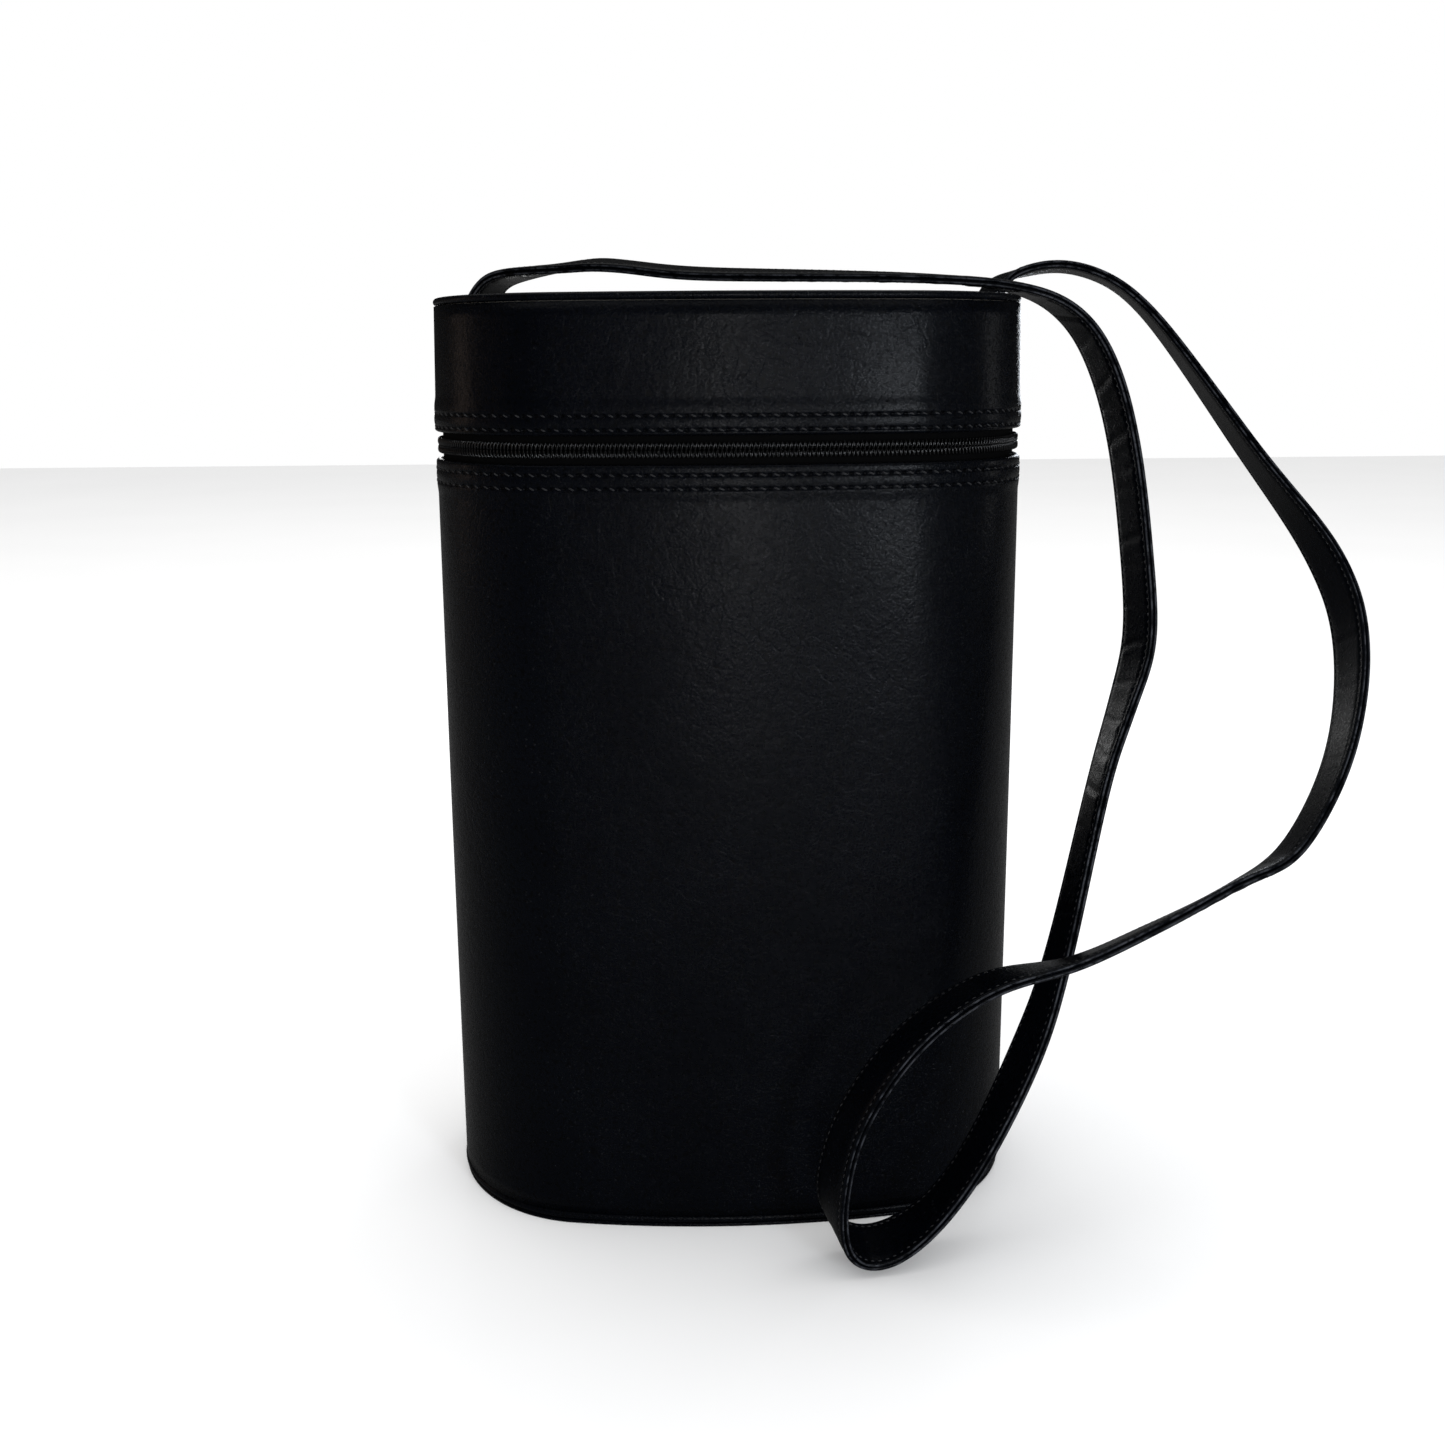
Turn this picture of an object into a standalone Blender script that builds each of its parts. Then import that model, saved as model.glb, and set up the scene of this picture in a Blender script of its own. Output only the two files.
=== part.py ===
"""Oval zip-top carrying case in black leather, with a divider for two bottles and a shoulder strap.

The case stands upright with its middle at x = 0, y = 0 and its base on z = 0.
Its front faces -Y, its lid hinge is at the back (+Y), and all sizes are in metres.
"""
import math

import bmesh
import bpy
from mathutils import Matrix, Vector

NAME = "oval_bottle_case"
MM = 0.001

# The oval: two end arcs and two flatter side arcs that meet smoothly.
HALF_WIDTH = 107.5 * MM
HALF_DEPTH = 60.0 * MM
END_RADIUS = 56.0 * MM
STATIONS = 72

# Heights of the two halves.
BODY_TOP = 275.1 * MM
LID_BOTTOM = 284.8 * MM
LID_TOP = 332.0 * MM
BASE_INSET = 2.1 * MM
LID_INSET = 0.8 * MM

# Layers, from the outside in.
GAP = 0.3 * MM
COVER = 1.2 * MM
BOARD = 2.0 * MM
LINING = 0.8 * MM
HEM_HEIGHT = 11.0 * MM
HEM_OUT = 0.3 * MM
HEM_IN = 2.2 * MM
WELT_HEIGHT = 2.7 * MM
WELT_OUT = 0.3 * MM
WELT_WIDTH = 3.0 * MM

BOARD_OUT = -COVER - GAP
BOARD_IN = BOARD_OUT - BOARD
LINING_OUT = BOARD_IN - GAP
LINING_IN = LINING_OUT - LINING

# The zip runs in the gap between the halves.
ZIP_Z = (BODY_TOP + LID_BOTTOM) / 2
ZIP_SLOT = 0.6 * MM
TAPE_OUT = -HEM_IN - GAP
TAPE_IN = TAPE_OUT - 0.6 * MM
TAPE_REACH = 16.5 * MM
COIL_OUT = -0.9 * MM
COIL_IN = TAPE_OUT + GAP
COIL_HEIGHT = 2.75 * MM
HINGE_HALF = 25.0 * MM
HINGE_GAP = 0.6 * MM
TAPE_START = HINGE_HALF + 1.0 * MM

# The slider turns about the middle of the left end arc.
SLIDER_ANGLE = math.radians(125)
SLIDER_LENGTH = 9.0 * MM
SLIDER_HEIGHT = 7.8 * MM
SLIDER_OUT = -0.5 * MM
SLIDER_IN = -3.5 * MM
PLATE = 1.1 * MM
LUG_OUT = 2.9 * MM
LUG_HEIGHT = 2.9 * MM
BAR_RADIUS = 0.5 * MM
EYE_RADIUS = 1.25 * MM
EYE_HOLE = 0.7 * MM
PULL_LENGTH = 21.0 * MM
PULL_WIDTH = 4.2 * MM
PULL_THICK = 1.0 * MM

# The strap is two layers, an outer and a lining, that follow one route.
STRAP_WIDTH = 18.0 * MM
STRAP_LAYER = 1.5 * MM
STRAP_GAP = 0.5 * MM
ANCHOR_ANGLE = math.radians(45)
ANCHOR_WIDTH = 22.0 * MM
ANCHOR_LOW = 212.0 * MM
ANCHOR_HIGH = 246.0 * MM
ANCHOR_THICK = 1.8 * MM

# The strap's route in millimetres, from the left anchor over the lid, down the right side,
# round the loop on the floor and back up behind the lid to the right anchor. The fourth number
# is how many degrees the strap is turned about its own line, from level towards the rear.
STRAP_STEPS = 78
STRAP_ROUTE = [
    (-92.7, 41.2, 246.8, -45), (-97, 44, 316, -40), (-95, 43, 334, -30), (-86, 37, 342, -10),
    (-55, 15, 345, 10), (-38, 5, 344, 10), (-10, 0, 341, 10), (71, 0, 339, 5),
    (108, 0, 335, 0), (127, -2, 325, -10), (138, -7, 306, -15), (145, -13, 277, -15),
    (148, -21, 240, -15), (148, -28, 208, -15), (140, -35, 184, -5), (131, -42, 160, 0),
    (113, -58, 99, -5), (101, -66, 69, -10), (82, -75, 37, -5), (66, -79, 17, -5),
    (51, -81, 7, -15), (42, -82, 6, -15), (34, -84, 12, 5), (30, -88, 31, 25),
    (37, -91, 60, 15), (56, -91, 88, 5), (81, -90, 105, -5), (111, -86, 110, -20),
    (140, -77, 118, -25), (171, -65, 127, -30), (197, -54, 137, -15), (220, -38, 168, -5),
    (230, -21, 204, 10), (225, -7, 234, 20), (203, 13, 272, 5), (168, 38, 328, -5),
    (144, 48, 345, 0), (121, 55, 344, 5), (107, 55, 330, -20), (92.7, 41.2, 246.8, -45),
]

# Colours and surfaces.
LEATHER_BLACK = (0.016, 0.017, 0.02)
LINING_BLACK = (0.03, 0.03, 0.032)
BOARD_GREY = (0.22, 0.21, 0.19)
NYLON_BLACK = (0.02, 0.02, 0.022)
DARK_METAL = (0.12, 0.12, 0.125)

# Geometry of the oval.
END_CENTRE = HALF_WIDTH - END_RADIUS
SIDE_RADIUS = (END_CENTRE ** 2 + HALF_DEPTH ** 2 - END_RADIUS ** 2) / (2 * (HALF_DEPTH - END_RADIUS))
SIDE_CENTRE = SIDE_RADIUS - HALF_DEPTH
JOIN_ANGLE = math.atan2(SIDE_CENTRE, END_CENTRE)
SIDE_TURN = math.pi - 2 * JOIN_ANGLE
END_TURN = 2 * JOIN_ANGLE
SIDE_LENGTH = SIDE_RADIUS * SIDE_TURN
END_LENGTH = END_RADIUS * END_TURN
PERIMETER = 2 * (SIDE_LENGTH + END_LENGTH)


def clear_scene():
    for thing in list(bpy.data.objects):
        bpy.data.objects.remove(thing)


def make_collection(name):
    collection = bpy.data.collections.new(name)
    bpy.context.scene.collection.children.link(collection)
    return collection


def make_material(name, colour, roughness, metallic=0.0):
    material = bpy.data.materials.new(name)
    material.use_nodes = True
    shader = material.node_tree.nodes["Principled BSDF"]
    shader.inputs["Base Color"].default_value = (*colour, 1)
    shader.inputs["Roughness"].default_value = roughness
    shader.inputs["Metallic"].default_value = metallic
    return material


def oval_angle(distance):
    """The outward direction at a distance along the oval, clockwise from the middle of the back."""
    along = distance % PERIMETER
    angle = math.pi / 2
    for radius, turn in (
        (SIDE_RADIUS, SIDE_TURN / 2), (END_RADIUS, END_TURN), (SIDE_RADIUS, SIDE_TURN),
        (END_RADIUS, END_TURN), (SIDE_RADIUS, SIDE_TURN / 2),
    ):
        step = min(along, radius * turn)
        angle -= step / radius
        along -= step
    return angle


def oval_point(angle, offset=0.0):
    """The point of the oval that faces a direction, moved out by an offset."""
    facing = Vector((math.cos(angle), math.sin(angle), 0))
    if abs(facing.x) > math.cos(JOIN_ANGLE):
        centre = Vector((math.copysign(END_CENTRE, facing.x), 0, 0))
        return centre + facing * (END_RADIUS + offset)
    centre = Vector((0, -math.copysign(SIDE_CENTRE, facing.y), 0))
    return centre + facing * (SIDE_RADIUS + offset)


def end_distance(angle):
    """The distance along the oval to a direction on the right end arc."""
    return SIDE_LENGTH / 2 + (JOIN_ANGLE - angle) * END_RADIUS


def oval_path(start=0.0, end=PERIMETER, offset=0.0):
    """Points along the oval; the whole oval leaves out its last point, which is its first."""
    closed = end - start >= PERIMETER
    count = max(4, round(STATIONS * (end - start) / PERIMETER))
    last = count if closed else count + 1
    step = (end - start) / count
    return [oval_point(oval_angle(start + step * i), offset) for i in range(last)]


def make_curve(name, points, closed):
    curve = bpy.data.curves.new(name, "CURVE")
    curve.dimensions = "2D"
    spline = curve.splines.new("POLY")
    spline.points.add(len(points) - 1)
    for target, point in zip(spline.points, points):
        target.co = (point[0], point[1], 0, 1)
    spline.use_cyclic_u = closed
    return bpy.data.objects.new(name, curve)


def curve_to_mesh(holder, name, material, home):
    """Turns a curve object into a closed mesh object with welded caps, and removes the curve."""
    home.objects.link(holder)
    bpy.context.view_layer.update()
    graph = bpy.context.evaluated_depsgraph_get()
    mesh = bpy.data.meshes.new_from_object(holder.evaluated_get(graph))
    shape = bmesh.new()
    shape.from_mesh(mesh)
    bmesh.ops.remove_doubles(shape, verts=shape.verts, dist=0.01 * MM)
    bmesh.ops.recalc_face_normals(shape, faces=shape.faces)
    shape.to_mesh(mesh)
    shape.free()
    mesh.name = name
    mesh.materials.clear()
    mesh.materials.append(material)
    piece = bpy.data.objects.new(name, mesh)
    home.objects.link(piece)
    piece.matrix_world = holder.matrix_world
    bpy.data.objects.remove(holder)
    return piece


def smooth(piece, angle=35):
    """Smooth shading that keeps the edges sharper than an angle."""
    piece.data.shade_smooth()
    piece.data.set_sharp_from_angle(angle=math.radians(angle))


def sweep(name, profile, material, home, start=0.0, end=PERIMETER):
    """A profile of (offset, height) points carried along the oval; a bevel profile's X points inwards."""
    outline = make_curve(name + "_profile", [(-offset, height) for offset, height in profile], True)
    outline.location.z = -1
    path = make_curve(name + "_path", oval_path(start, end), end - start >= PERIMETER)
    path.data.bevel_mode = "OBJECT"
    path.data.bevel_object = outline
    path.data.use_fill_caps = True
    home.objects.link(outline)
    piece = curve_to_mesh(path, name, material, home)
    bpy.data.objects.remove(outline)
    smooth(piece)
    return piece


def disc(name, offset, low, high, material, home):
    """A flat oval panel between two heights."""
    panel = make_curve(name + "_outline", oval_path(offset=offset), True)
    panel.data.fill_mode = "BOTH"
    panel.data.extrude = (high - low) / 2
    panel.location.z = (low + high) / 2
    piece = curve_to_mesh(panel, name, material, home)
    smooth(piece)
    return piece


def body_offset(z):
    """How far the body's wall leans in towards its base."""
    return -BASE_INSET * (1 - z / BODY_TOP)


def lid_offset(z):
    """How far the lid's wall leans in towards its top."""
    return -LID_INSET * (z - LID_BOTTOM) / (LID_TOP - LID_BOTTOM)


def wall_profile(lean, outer, inner, low, high):
    return [
        (lean(low) + outer, low), (lean(high) + outer, high),
        (lean(high) + inner, high), (lean(low) + inner, low),
    ]


def hemmed_profile(lean, edge, far):
    """A cover's profile from its far end to its turned hem at the zip."""
    away = math.copysign(1, far - edge)
    hem_start = edge + away * HEM_HEIGHT
    soft = away * 0.7 * MM
    return [
        (lean(far), far), (lean(hem_start), hem_start + 2 * soft), (lean(hem_start) + HEM_OUT, hem_start),
        (HEM_OUT, edge + soft), (HEM_OUT - 0.25 * MM, edge + 0.25 * soft), (HEM_OUT - 0.8 * MM, edge),
        (-HEM_IN + 0.5 * MM, edge), (-HEM_IN, edge + soft), (-HEM_IN, hem_start),
        (lean(hem_start) - COVER, hem_start), (lean(far) - COVER, far),
    ]


def welt_profile(outer, low):
    """A folded leather edge with a rounded outer side."""
    high = low + WELT_HEIGHT
    middle = (low + high) / 2
    half = WELT_HEIGHT / 2
    inner = outer - WELT_WIDTH
    points = [(inner, high), (inner, low)]
    for i in range(5):
        turn = math.radians(-90 + 45 * i)
        points.append((outer - half + half * math.cos(turn), middle + half * math.sin(turn)))
    return points


def make_body(parts, look):
    base_edge = -BASE_INSET
    disc("base_cover", base_edge - 0.2 * MM, 0, COVER, look["leather"], parts)
    sweep("base_welt", welt_profile(base_edge + WELT_OUT, COVER + GAP), look["leather"], parts)
    cover_low = COVER + WELT_HEIGHT + 2 * GAP
    sweep("body_cover", hemmed_profile(body_offset, BODY_TOP, cover_low), look["leather"], parts)
    base_board_high = COVER + GAP + BOARD
    welt_inside = base_edge + WELT_OUT - WELT_WIDTH
    disc("base_board", welt_inside - GAP, COVER + GAP, base_board_high, look["board"], parts)
    board_low = cover_low + 2 * GAP
    board_high = BODY_TOP - HEM_HEIGHT - 1.5 * MM
    board = wall_profile(body_offset, BOARD_OUT, BOARD_IN, board_low, board_high)
    sweep("body_board", board, look["board"], parts)
    lining_floor = base_board_high + GAP
    disc("base_lining", base_edge + LINING_OUT, lining_floor, lining_floor + LINING, look["lining"], parts)
    lining_low = lining_floor + LINING + GAP
    lining = wall_profile(body_offset, LINING_OUT, LINING_IN, lining_low, BODY_TOP - COVER)
    sweep("body_lining", lining, look["lining"], parts)
    make_divider(lining_low, parts, look)


def make_divider(low, parts, look):
    """The padded panel that keeps two bottles apart."""
    height = 190 * MM
    reach = HALF_DEPTH + LINING_IN - BASE_INSET - GAP
    bpy.ops.mesh.primitive_cube_add(size=1)
    panel = bpy.context.object
    panel.name = "divider"
    panel.scale = (3 * MM, 2 * reach, height)
    bpy.ops.object.transform_apply(location=False, rotation=False, scale=True)
    panel.location.z = low + height / 2
    rounding = panel.modifiers.new("rounding", "BEVEL")
    rounding.width = 1.2 * MM
    rounding.segments = 3
    panel.data.materials.append(look["lining"])
    move_to(panel, parts)


def move_to(piece, home):
    for old in list(piece.users_collection):
        old.objects.unlink(piece)
    home.objects.link(piece)


def make_lid(parts, look):
    top_edge = lid_offset(LID_TOP)
    welt_low = LID_TOP - WELT_HEIGHT
    cover_high = welt_low - GAP
    sweep("lid_cover", hemmed_profile(lid_offset, LID_BOTTOM, cover_high), look["leather"], parts)
    sweep("lid_welt", welt_profile(top_edge + WELT_OUT, welt_low), look["leather"], parts)
    welt_inside = top_edge + WELT_OUT - WELT_WIDTH
    top_low = LID_TOP - 0.6 * MM - COVER
    disc("lid_top_cover", welt_inside - GAP, top_low, top_low + COVER, look["leather"], parts)
    board_top = top_low - GAP
    disc("lid_top_board", welt_inside - GAP, board_top - BOARD, board_top, look["board"], parts)
    wall_high = board_top - BOARD - GAP
    board_low = LID_BOTTOM + HEM_HEIGHT + 1.5 * MM
    board = wall_profile(lid_offset, BOARD_OUT, BOARD_IN, board_low, wall_high)
    sweep("lid_board", board, look["board"], parts)
    disc("lid_top_lining", top_edge + LINING_OUT, wall_high - LINING, wall_high, look["lining"], parts)
    lining_high = wall_high - LINING - GAP
    lining = wall_profile(lid_offset, LINING_OUT, LINING_IN, LID_BOTTOM + COVER, lining_high)
    sweep("lid_lining", lining, look["lining"], parts)


def make_zip(parts, look):
    """The two tapes and coils, each a C round the oval that stops short of the hinge."""
    slider_reach = (SLIDER_LENGTH / 2 + 1.5 * MM) / END_RADIUS
    coil_start = end_distance(math.pi - SLIDER_ANGLE - slider_reach)
    for side, edge in (("lower", -1), ("upper", 1)):
        near = ZIP_Z + edge * ZIP_SLOT
        far = ZIP_Z + edge * TAPE_REACH
        tape = [(TAPE_OUT, near), (TAPE_OUT, far), (TAPE_IN, far), (TAPE_IN, near)]
        sweep("zip_tape_" + side, tape, look["tape"], parts, TAPE_START, PERIMETER - TAPE_START)
        top = near + edge * COIL_HEIGHT
        chamfer = edge * 0.5 * MM
        coil = [
            (COIL_OUT, near + chamfer), (COIL_OUT, top - chamfer), (COIL_OUT - 0.5 * MM, top),
            (COIL_IN, top), (COIL_IN, near), (COIL_OUT - 0.5 * MM, near),
        ]
        sweep("zip_coil_" + side, coil, look["coil"], parts, coil_start, PERIMETER - coil_start)
    coil_high = ZIP_Z - ZIP_SLOT
    coil_low = coil_high - COIL_HEIGHT
    stop = [(COIL_OUT, coil_high), (COIL_OUT, coil_low), (COIL_IN, coil_low), (COIL_IN, coil_high)]
    length = 2.5 * MM
    right = coil_start - GAP - length
    left = PERIMETER - end_distance(math.pi - SLIDER_ANGLE) + SLIDER_LENGTH / 2 + GAP
    sweep("zip_stop_right", stop, look["metal"], parts, right, right + length)
    sweep("zip_stop_left", stop, look["metal"], parts, left, left + length)


def make_hinge(parts, look):
    """The two leaves of the leather hinge, which meet on the fold line at the back."""
    for side, edge in (("lower", -1), ("upper", 1)):
        near = ZIP_Z + edge * HINGE_GAP
        far = ZIP_Z + edge * TAPE_REACH
        leaf = [(TAPE_OUT, near), (TAPE_OUT, far), (TAPE_IN, far), (TAPE_IN, near)]
        start = PERIMETER - HINGE_HALF
        sweep("hinge_leaf_" + side, leaf, look["leather"], parts, start, start + 2 * HINGE_HALF)


def box_mesh(name, size, centre, home):
    """A plain box with its middle at a point."""
    bpy.ops.mesh.primitive_cube_add(size=1)
    block = bpy.context.object
    block.name = name
    block.scale = size
    bpy.ops.object.transform_apply(location=False, rotation=False, scale=True)
    block.data.transform(Matrix.Translation(centre))
    move_to(block, home)
    return block


def rod_mesh(name, radius, length, centre, home):
    """An upright cylinder with its middle at a point."""
    bpy.ops.mesh.primitive_cylinder_add(vertices=20, radius=radius, depth=length)
    rod = bpy.context.object
    rod.name = name
    rod.data.transform(Matrix.Translation(centre))
    move_to(rod, home)
    return rod


def combine(piece, tools, operation="UNION"):
    """Joins tools to a piece, or cuts them from it, and hides them."""
    for tool in tools:
        change = piece.modifiers.new(tool.name, "BOOLEAN")
        change.operation = operation
        change.object = tool
        tool.hide_render = True
        tool.display_type = "WIRE"


def make_slider(parts, cutters, look):
    """The slider on the zip and its pull; X runs along the zip and Y points outwards."""
    track = bpy.data.objects.new("slider_axis", None)
    track.location = (-END_CENTRE, 0, ZIP_Z)
    parts.objects.link(track)
    outer_centre = Vector((0, SLIDER_OUT + PLATE / 2, 0))
    plate_size = (SLIDER_LENGTH, PLATE, SLIDER_HEIGHT)
    slider = box_mesh("zip_slider", plate_size, outer_centre, parts)
    bridge_in = SLIDER_IN - PLATE / 2
    bridge_out = SLIDER_OUT + PLATE / 2
    bridge_centre = Vector((0, (bridge_in + bridge_out) / 2, 0))
    bridge_size = (2.4 * MM, bridge_out - bridge_in, 0.8 * MM)
    lug_in = SLIDER_OUT + PLATE / 2
    lug_centre = (LUG_OUT + lug_in) / 2
    bar_y = LUG_OUT - GAP - BAR_RADIUS
    lug_z = LUG_HEIGHT
    tools = [
        box_mesh("slider_inner_plate", plate_size, Vector((0, SLIDER_IN - PLATE / 2, 0)), cutters),
        box_mesh("slider_bridge", bridge_size, bridge_centre, cutters),
        rod_mesh("slider_bar", BAR_RADIUS, 2 * lug_z, Vector((0, bar_y, 0)), cutters),
    ]
    for label, side in (("low", -1), ("high", 1)):
        size = (2.2 * MM, LUG_OUT - lug_in, 1.0 * MM)
        tools.append(box_mesh("slider_lug_" + label, size, Vector((0, lug_centre, side * lug_z)), cutters))
    combine(slider, tools)
    slider.data.materials.append(look["metal"])

    pull = rod_mesh("zip_pull", EYE_RADIUS, 3.6 * MM, Vector((0, 0, 0)), parts)
    tab_size = (PULL_LENGTH, PULL_THICK, PULL_WIDTH)
    tab_centre = Vector((EYE_RADIUS * 0.7 + PULL_LENGTH / 2, 0.2 * MM, 0))
    tab = box_mesh("pull_tab", tab_size, tab_centre, cutters)
    hole = rod_mesh("pull_hole", EYE_HOLE, 3 * PULL_WIDTH, Vector((0, 0, 0)), cutters)
    combine(pull, [tab])
    combine(pull, [hole], "DIFFERENCE")
    pull.data.materials.append(look["metal"])

    pivot = bpy.data.objects.new("pull_axis", None)
    pivot.location = (0, bar_y, 0)
    parts.objects.link(pivot)
    mover = bpy.data.objects.new("slider_place", None)
    mover.rotation_euler.z = SLIDER_ANGLE - math.pi / 2
    mover.location = Vector((math.cos(SLIDER_ANGLE), math.sin(SLIDER_ANGLE), 0)) * END_RADIUS
    parts.objects.link(mover)
    mover.parent = track
    for child in [slider, pivot, *tools]:
        child.parent = mover
    for child in (pull, tab, hole):
        child.parent = pivot


def make_anchors(parts, look):
    """The leather patches at the back that hold the strap's ends."""
    profile = [
        (GAP, ANCHOR_LOW), (GAP, ANCHOR_HIGH), (GAP + ANCHOR_THICK, ANCHOR_HIGH),
        (GAP + ANCHOR_THICK, ANCHOR_LOW),
    ]
    middle = end_distance(ANCHOR_ANGLE)
    for side, centre in (("right", middle), ("left", PERIMETER - middle)):
        start = centre - ANCHOR_WIDTH / 2
        sweep("strap_anchor_" + side, profile, look["leather"], parts, start, start + ANCHOR_WIDTH)


def curve_through(points, at):
    """A smooth curve through a list of points, at a place counted in points from its start."""
    i = min(int(at), len(points) - 2)
    t = at - i
    p1 = points[i]
    p2 = points[i + 1]
    p0 = points[i - 1] if i > 0 else 2 * p1 - p2
    p3 = points[i + 2] if i + 2 < len(points) else 2 * p2 - p1
    first = 2 * p1 + (p2 - p0) * t
    rest = (2 * p0 - 5 * p1 + 4 * p2 - p3) * t ** 2 + (3 * p1 - p0 - 3 * p2 + p3) * t ** 3
    return (first + rest) / 2


def strap_rings():
    """Places on the strap: its middle, the way across it and the side its outer layer faces."""
    route = [Vector((x * MM, y * MM, z * MM, math.radians(turn))) for x, y, z, turn in STRAP_ROUTE]
    last = len(route) - 1
    rings = []
    for step in range(STRAP_STEPS + 1):
        at = last * step / STRAP_STEPS
        here = curve_through(route, at)
        before, after = curve_through(route, max(at - 0.1, 0)), curve_through(route, min(at + 0.1, last))
        ahead = (after - before).xyz.normalized()
        rear = Vector((0, 1, 0))
        rear = (rear - ahead * rear.dot(ahead)).normalized()
        across = Matrix.Rotation(here.w, 3, ahead) @ rear
        rings.append((here.xyz, across, ahead.cross(across)))
    return rings


def make_strap(parts, look):
    """The strap's two layers, each a ribbon that follows the route."""
    rings = strap_rings()
    for name, near, far in (
        ("strap_outer", STRAP_GAP / 2, STRAP_GAP / 2 + STRAP_LAYER),
        ("strap_lining", -STRAP_GAP / 2, -STRAP_GAP / 2 - STRAP_LAYER),
    ):
        shape = bmesh.new()
        half = STRAP_WIDTH / 2
        corners = [(-half, near), (half, near), (half, far), (-half, far)]
        loops = [
            [shape.verts.new(middle + across * x + out * y) for x, y in corners]
            for middle, across, out in rings
        ]
        for before, after in zip(loops, loops[1:]):
            for i in range(4):
                j = (i + 1) % 4
                shape.faces.new((before[i], before[j], after[j]))
                shape.faces.new((before[i], after[j], after[i]))
        shape.faces.new(reversed(loops[0]))
        shape.faces.new(loops[-1])
        bmesh.ops.recalc_face_normals(shape, faces=shape.faces)
        mesh = bpy.data.meshes.new(name)
        shape.to_mesh(mesh)
        shape.free()
        mesh.materials.append(look["leather"])
        strap = bpy.data.objects.new(name, mesh)
        parts.objects.link(strap)
        smooth(strap)


def main():
    clear_scene()
    parts = make_collection(NAME)
    cutters = make_collection("cutters")
    look = {
        "leather": make_material("leather", LEATHER_BLACK, 0.42),
        "lining": make_material("lining", LINING_BLACK, 0.85),
        "board": make_material("board", BOARD_GREY, 0.8),
        "tape": make_material("zip_tape", NYLON_BLACK, 0.9),
        "coil": make_material("zip_coil", NYLON_BLACK, 0.4),
        "metal": make_material("zip_metal", DARK_METAL, 0.35, 1.0),
    }
    make_body(parts, look)
    make_lid(parts, look)
    make_zip(parts, look)
    make_hinge(parts, look)
    make_slider(parts, cutters, look)
    make_anchors(parts, look)
    make_strap(parts, look)


main()
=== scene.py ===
import math
import random

import bmesh
import bpy
import numpy as np
from mathutils import Matrix, Vector


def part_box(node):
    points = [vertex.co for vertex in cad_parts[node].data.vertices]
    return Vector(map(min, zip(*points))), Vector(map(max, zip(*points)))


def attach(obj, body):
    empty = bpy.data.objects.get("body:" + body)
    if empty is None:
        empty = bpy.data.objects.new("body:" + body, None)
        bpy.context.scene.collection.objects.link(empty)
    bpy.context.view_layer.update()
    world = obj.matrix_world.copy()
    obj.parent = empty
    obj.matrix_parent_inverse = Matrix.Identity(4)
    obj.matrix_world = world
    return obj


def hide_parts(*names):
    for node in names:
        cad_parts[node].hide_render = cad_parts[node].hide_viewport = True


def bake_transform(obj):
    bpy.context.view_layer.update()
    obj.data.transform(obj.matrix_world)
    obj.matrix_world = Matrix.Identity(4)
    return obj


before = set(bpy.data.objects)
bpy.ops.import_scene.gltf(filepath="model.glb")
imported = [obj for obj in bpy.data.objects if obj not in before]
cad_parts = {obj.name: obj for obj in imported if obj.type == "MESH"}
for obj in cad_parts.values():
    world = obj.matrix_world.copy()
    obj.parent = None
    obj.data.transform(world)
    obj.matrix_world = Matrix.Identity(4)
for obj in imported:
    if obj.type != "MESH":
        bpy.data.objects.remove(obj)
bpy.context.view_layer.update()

MM = 0.001

# The oval's driving sizes, as in the CAD.
END_RADIUS = 56.0 * MM
HEM_OUT = 0.3 * MM
BASE_INSET = 2.1 * MM
LID_INSET = 0.8 * MM
HALF_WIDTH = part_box("body_cover")[1][0] - HEM_OUT
HALF_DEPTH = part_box("body_cover")[1][1] - HEM_OUT
BODY_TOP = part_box("body_cover")[1][2]
BODY_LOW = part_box("body_cover")[0][2]
LID_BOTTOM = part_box("lid_cover")[0][2]
LID_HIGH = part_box("lid_cover")[1][2]
LID_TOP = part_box("lid_welt")[1][2]
ZIP_Z = (BODY_TOP + LID_BOTTOM) / 2

END_CENTRE = HALF_WIDTH - END_RADIUS
SIDE_RADIUS = (END_CENTRE ** 2 + HALF_DEPTH ** 2 - END_RADIUS ** 2) / (2 * (HALF_DEPTH - END_RADIUS))
SIDE_CENTRE = SIDE_RADIUS - HALF_DEPTH
JOIN_ANGLE = math.atan2(SIDE_CENTRE, END_CENTRE)
SIDE_LENGTH = SIDE_RADIUS * (math.pi - 2 * JOIN_ANGLE)
END_LENGTH = END_RADIUS * 2 * JOIN_ANGLE
PERIMETER = 2 * (SIDE_LENGTH + END_LENGTH)

# Leather work: stitch rows are measured from the edge that they follow.
STITCH_PITCH = PERIMETER / 122
THREAD = 0.27 * MM
BODY_ROWS = (3.4 * MM, 8.0 * MM)
LID_ROWS = (1.9 * MM, 6.6 * MM)
HEM_IN = 2.2 * MM
COVER = 1.2 * MM
LINING_OUT = 3.8 * MM
LINING_IN = 4.6 * MM
WEAVE_PITCH = MM / 1.4

# The zip and the hinge, in depths inside the oval.
COIL_PITCH = 1.5 * MM
COIL_WIRE = 0.32 * MM
COIL_DEPTH = 1.25 * MM
TAPE_OUT = 2.5 * MM
TAPE_IN = 3.1 * MM
TAPE_END = 26 * MM
GUSSET_HALF = 25 * MM
GUSSET_FOLD = 3.6 * MM

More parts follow.
